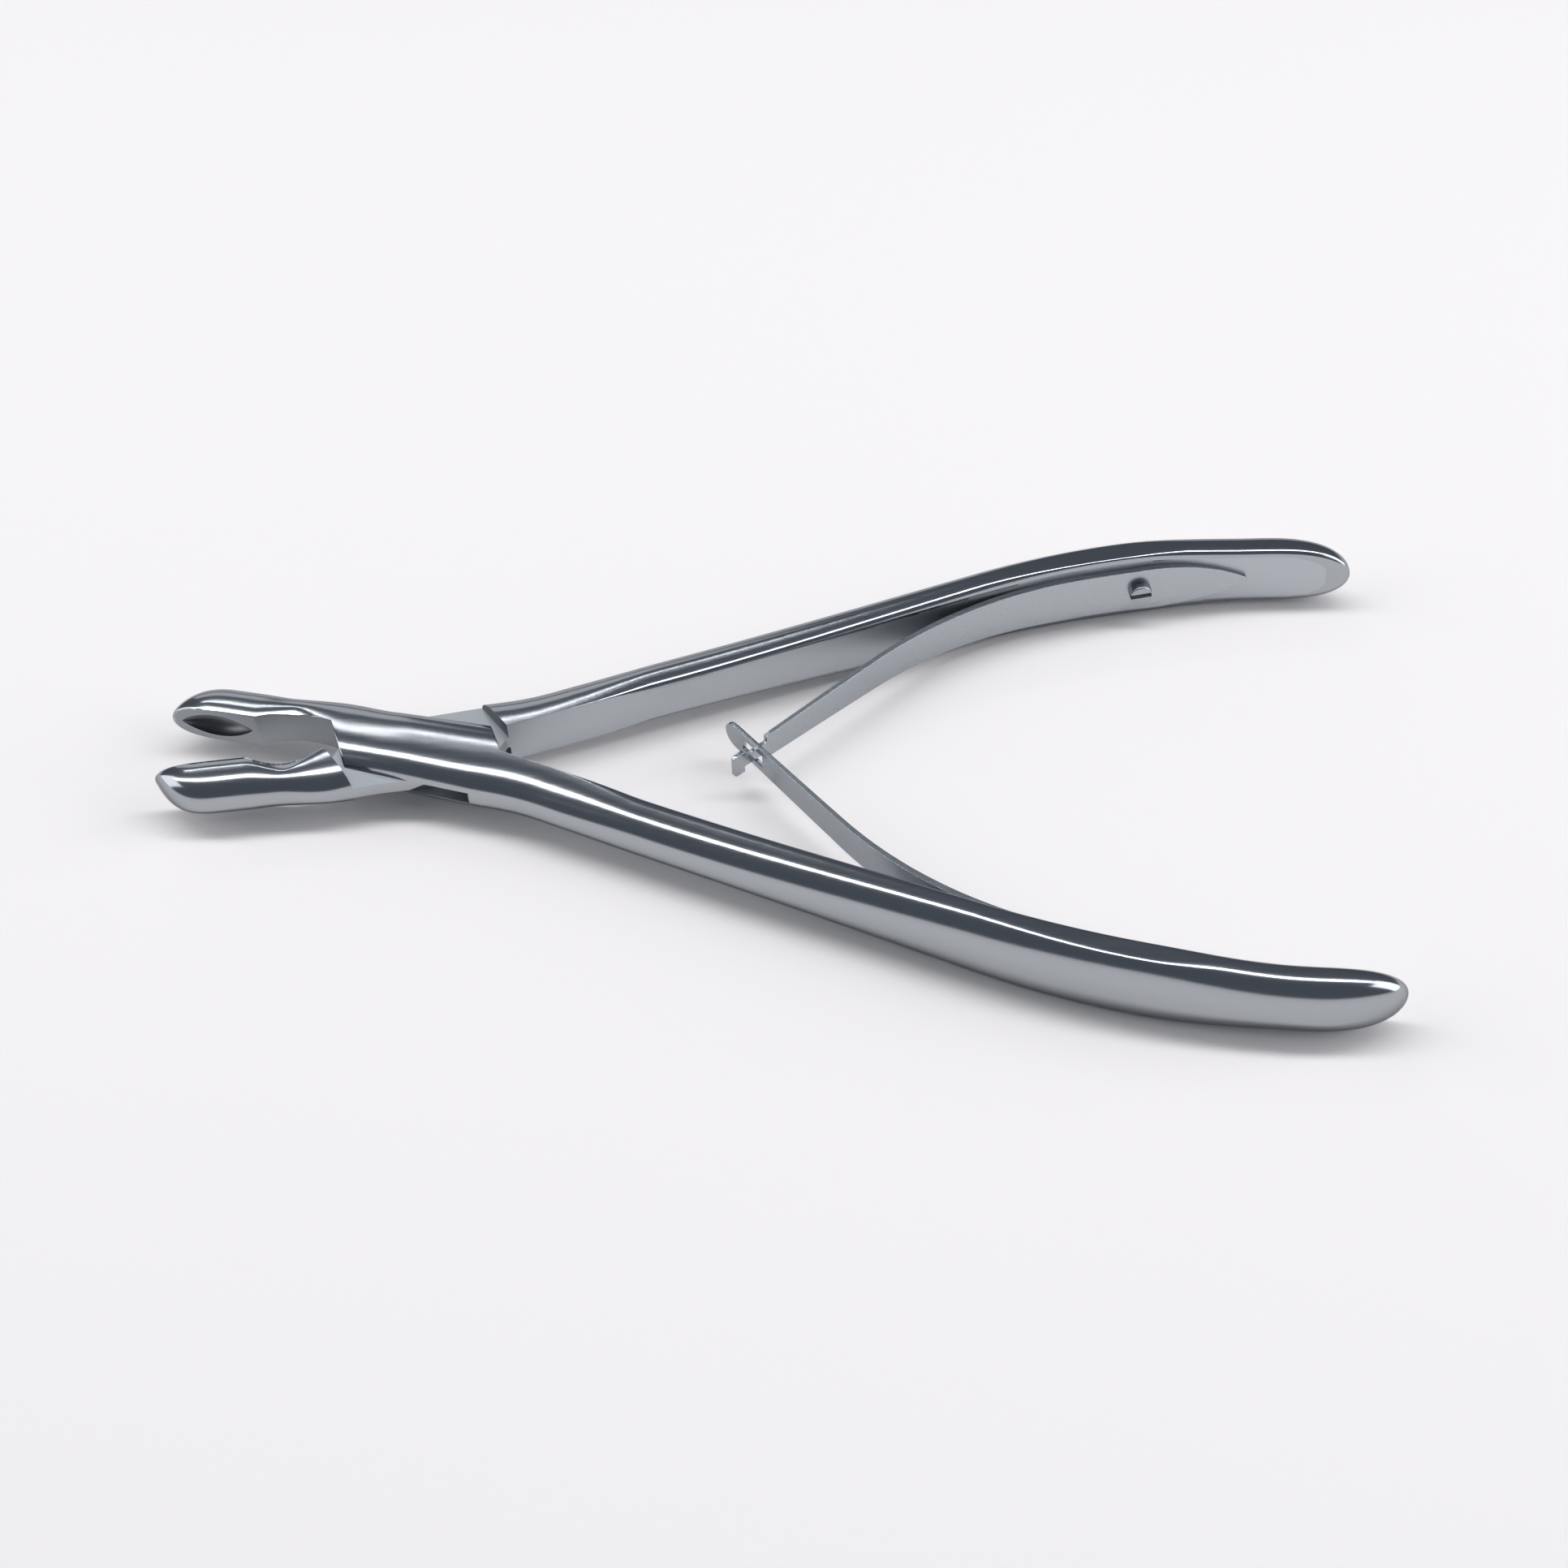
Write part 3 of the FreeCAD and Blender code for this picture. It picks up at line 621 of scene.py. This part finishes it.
def edges_broken(leaf, segments=3, sharp=50):
    """Breaks a leaf's edges, as tumbling does."""
    edge = leaf.modifiers.new("edge", "BEVEL")
    edge.width = leaf_edge * millimetre
    edge.segments = segments
    edge.limit_method = "ANGLE"
    edge.angle_limit = math.radians(sharp)
    return settled(leaf)


def in_frame(point):
    return (point + pivot_axis) * millimetre


def flexing(piece, node, cross, side=1):
    """Works out where a leaf's bend starts and ends, then shades it smooth, gives it the spring steel
    and stands it in for its node.
    """
    centre, turn, _ = leaf_run(cross)
    middle = leaf_bend - leaf_thickness / 2
    start = centre + towards(270 - face_slope(leaf_leaves), middle)
    end = centre + towards(turn, middle)
    for point in (start, end):
        point.y *= side
    dress(smoothed(piece, crease=50), node, None, spring_steel)
    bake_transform(piece)


cross = Vector((crossing_x, crossing_y, 0))
ahead = leaf_run(cross)[2]
tip_x = cross.x + ahead.x * leaf_end
round_x = cross.x + ahead.x * (leaf_end - tip_width / 2)


def slotted_half(x):
    if x >= leaf_leaves:
        return foot_half(x)
    if x >= round_x:
        share = (leaf_leaves - x) / (leaf_leaves - round_x)
        return (foot_width + (tip_width - foot_width) * share) / 2
    return tip_width / 2 * math.sqrt(1 - ((round_x - x) / (round_x - tip_x)) ** 2)


def round_steps(start, end, steps):
    """Places that crowd together towards the end of a rounded outline and stop just short of it."""
    return [start + (end - start) * math.sin(math.pi / 2 * i / steps) for i in range(steps)]


slot_end = cross.x + ahead.x * slot_ahead
slot_start = cross.x - ahead.x * slot_back


def slot_open(x):
    return "inside" if slot_end < x < slot_start else ""


tail_places = round_steps(leaf_tail - tail_round, leaf_tail, tail_steps)[::-1]
foot_places = evenly(leaf_tail - tail_round, leaf_leaves, foot_step)[1:]
places = tail_places + foot_places + evenly(leaf_leaves, slot_start, leaf_step)[1:]
places += evenly(slot_start, slot_end, slot_step)[1:] + evenly(slot_end, round_x, slot_step)[1:]
places += round_steps(round_x, tip_x, tip_steps)[1:]
slotted_leaf = leaf_strip(cross, places, slotted_half, slot_width / 2, slot_open, "lower_leaf_spring")
edges_broken(slotted_leaf)
flexing(slotted_leaf, "slotted_leaf_spring", cross)

# The upper leaf, of the same strip, is cut in to a neck that goes through the lower leaf's slot,
# and a cross-bar on the neck's end keeps the two hooked together while they slide.
neck_width, neck_start, neck_taper, neck_end = 1.9, 1.2, 0.3, 2.8
head_width, head_length, head_round, bar_steps = 4.0, 1.9, 0.55, 7
cross = Vector((crossing_x, -crossing_y, 0))
ahead = leaf_run(cross)[2]
neck_x = cross.x - ahead.x * (neck_start + neck_taper / 2)
head_x = cross.x + ahead.x * neck_end
bar_x = cross.x + ahead.x * (neck_end + head_length)


def headed_half(x):
    if x >= leaf_leaves:
        return foot_half(x)
    if x >= neck_x:
        share = (leaf_leaves - x) / (leaf_leaves - neck_x)
        return (foot_width + (tip_width - foot_width) * share) / 2
    past = max(0.0, (bar_x - x) / head_round + 1)
    return head_width / 2 - head_round * (1 - math.sqrt(max(0.0, 1 - past ** 2)))


def neck_open(x):
    return "outside" if head_x < x < neck_x else ""


places = tail_places + foot_places + evenly(leaf_leaves, neck_x, leaf_step)[1:]
places += evenly(neck_x, head_x, leaf_step)[1:] + evenly(head_x, bar_x + head_round, slot_step)[1:]
places += round_steps(bar_x + head_round, bar_x, bar_steps)[1:]
headed_leaf = leaf_strip(cross, places, headed_half, neck_width / 2, neck_open, "upper_leaf_spring")
mirrored(edges_broken(headed_leaf))
flexing(headed_leaf, "headed_leaf_spring", cross, -1)

# Each leaf is held by one slotted cheese-head screw, turned from stainless bar with a rounded rim,
# that goes through the leaf into the grip.
screw_at, screw_head, screw_height, screw_shank = 103.1, 1.65, 1.2, 1.1
screw_depth, seat_gap, screw_edge = 3.2, 0.02, 0.25
driver_width, driver_depth, driver_turn = 0.8, 0.6, 4.0
screw_steel = satin_steel("screw_steel", lever_colour, roughness=0.24, grain_turn=0)


def spring_screw(name):
    under_head = -leaf_thickness - seat_gap
    head = bmesh.new()
    middle = Matrix.Translation((0, 0, under_head - screw_height / 2))
    bmesh.ops.create_cone(head, cap_ends=True, segments=64, radius1=screw_head, radius2=screw_head,
                          depth=screw_height, matrix=middle)
    top = under_head - screw_height
    rim = [e for e in head.edges if all(abs(v.co.z - top) < seat_gap for v in e.verts)]
    bmesh.ops.bevel(head, geom=rim, offset=screw_edge, offset_type="OFFSET", affect="EDGES", segments=4,
                    profile=0.5, material=-1, clamp_overlap=True)
    shank_length = screw_depth - under_head
    middle = Matrix.Translation((0, 0, (under_head + screw_depth) / 2))
    shank = bmesh.new()
    bmesh.ops.create_cone(shank, cap_ends=True, segments=48, radius1=screw_shank, radius2=screw_shank,
                          depth=shank_length + seat_gap, matrix=middle)
    screw = as_piece(head, name)
    machined(screw, as_piece(shank, "shank"), "UNION")
    groove = bmesh.new()
    bmesh.ops.create_cube(groove, size=1)
    bmesh.ops.scale(groove, vec=(4 * screw_head, driver_width, 2 * driver_depth), verts=groove.verts)
    bmesh.ops.translate(groove, vec=(0, 0, top), verts=groove.verts)
    aside = Matrix.Rotation(math.radians(driver_turn), 3, "Z")
    bmesh.ops.rotate(groove, cent=(0, 0, 0), matrix=aside, verts=groove.verts)
    machined(screw, as_piece(groove, "groove"))
    home = Matrix.Translation(in_frame(Vector((0, 0, 0))))
    place = Matrix.Translation(in_frame(on_face(screw_at)))
    laid = Matrix.Rotation(math.pi / 2, 4, "X")
    turned = Matrix.Rotation(math.radians(-face_slope(screw_at)), 4, "Z")
    screw.data.transform(place @ turned @ laid @ home.inverted())
    return smoothed(screw, crease=40)


dress(spring_screw("lower_leaf_screw"), "lower_spring_screw", "box_side", screw_steel)
upper_screw = mirrored(spring_screw("upper_leaf_screw"))
dress(upper_screw, "upper_spring_screw", "tongue_side", screw_steel)

# A round pale table under the tool, in a dim room with a pale horizon. Long soft lamps hang over
# it and beyond it, and a square one stands at each end, which softens the tool's shadow.
floor_colour, floor_roughness, floor_gloss = (0.965, 0.935, 0.928), 0.9, 0.1
table_radius = 600
table_shape = bmesh.new()
bmesh.ops.create_circle(table_shape, cap_ends=True, segments=96, radius=table_radius)
table = as_piece(table_shape, "table_top")
table.data.transform(Matrix.Translation((0, 0, -pivot_axis.z * millimetre)))
paint = bpy.data.materials.new("pale_table")
paint.use_nodes = True
shader = paint.node_tree.nodes["Principled BSDF"]
shader.inputs["Base Color"].default_value = (*floor_colour, 1)
shader.inputs["Roughness"].default_value = floor_roughness
shader.inputs["Specular IOR Level"].default_value = floor_gloss
table.data.materials.append(paint)


def soft_lamp(name, place, aim, size, brightness):
    lamp = bpy.data.lights.new(name, "AREA")
    lamp.shape = "RECTANGLE"
    lamp.size, lamp.size_y = size
    lamp.energy = brightness * math.pi * size[0] * size[1]
    holder = bpy.data.objects.new(name, lamp)
    holder.location = place
    holder.rotation_euler = (Vector(aim) - Vector(place)).to_track_quat("-Z", "Y").to_euler()
    bpy.context.scene.collection.objects.link(holder)


tool_middle, box_lock = (0, 0, 0), (-0.05, 0, 0)
soft_lamp("overhead_lamp", (0.0, 0.17, 0.9), aim=tool_middle, size=(1.6, 0.14), brightness=8.8)
soft_lamp("far_lamp", (-0.36, 0.82, 0.88), aim=box_lock, size=(0.44, 0.03), brightness=10.0)
soft_lamp("low_lamp", (-0.48, 1.1, 0.42), aim=box_lock, size=(0.5, 0.4), brightness=0.7)
soft_lamp("left_lamp", (-1.1, 0.0, 0.55), aim=tool_middle, size=(0.9, 1.0), brightness=1.7)
soft_lamp("right_lamp", (1.1, 0.0, 0.55), aim=tool_middle, size=(0.9, 1.0), brightness=2.4)

horizon_top, horizon_colour = 0.01, (0.85, 0.85, 0.86)
dim_above, dim_colour = 0.14, (0.122, 0.137, 0.163)
room = bpy.data.worlds.new("studio")
bpy.context.scene.world = room
room.use_nodes = True
nodes, links = room.node_tree.nodes, room.node_tree.links
direction = nodes.new("ShaderNodeTexCoord")
height = nodes.new("ShaderNodeSeparateXYZ")
sky = nodes.new("ShaderNodeValToRGB")
sky.color_ramp.elements[0].position = horizon_top
sky.color_ramp.elements[0].color = (*horizon_colour, 1)
sky.color_ramp.elements[1].position = dim_above
sky.color_ramp.elements[1].color = (*dim_colour, 1)
links.new(direction.outputs["Generated"], height.inputs["Vector"])
links.new(height.outputs["Z"], sky.inputs["Fac"])
links.new(sky.outputs["Color"], nodes["Background"].inputs["Color"])
nodes["Background"].inputs["Strength"].default_value = 1

# The camera looks down at the tool at 50 degrees, from the box lever's side and a little from
# the handles, through a slightly long lens.
camera_elevation, camera_turn, camera_roll = 50.0, 4.88, -2.79
camera_target, camera_distance, camera_lens = Vector((52.5, -4.4, 0)), 341.0, 56.4
sensor_width, farthest_seen = 36, 20
up_angle, side_angle, roll = (math.radians(a) for a in (camera_elevation, camera_turn, camera_roll))
flat_back = Vector((math.sin(side_angle), -math.cos(side_angle), 0))
back = flat_back * math.cos(up_angle) + Vector((0, 0, math.sin(up_angle)))
level = Vector((math.cos(side_angle), math.sin(side_angle), 0))
rise = back.cross(level)
right = level * math.cos(roll) + rise * math.sin(roll)
above = rise * math.cos(roll) - level * math.sin(roll)
lens = bpy.data.cameras.new("camera")
lens.lens = camera_lens
lens.sensor_width = sensor_width
lens.clip_end = farthest_seen
camera = bpy.data.objects.new("camera", lens)
stand = Matrix((right, above, back)).transposed().to_4x4()
camera.matrix_world = Matrix.Translation(in_frame(camera_target + back * camera_distance)) @ stand
bpy.context.scene.collection.objects.link(camera)
bpy.context.scene.camera = camera
bpy.context.scene.view_settings.view_transform = "Standard"
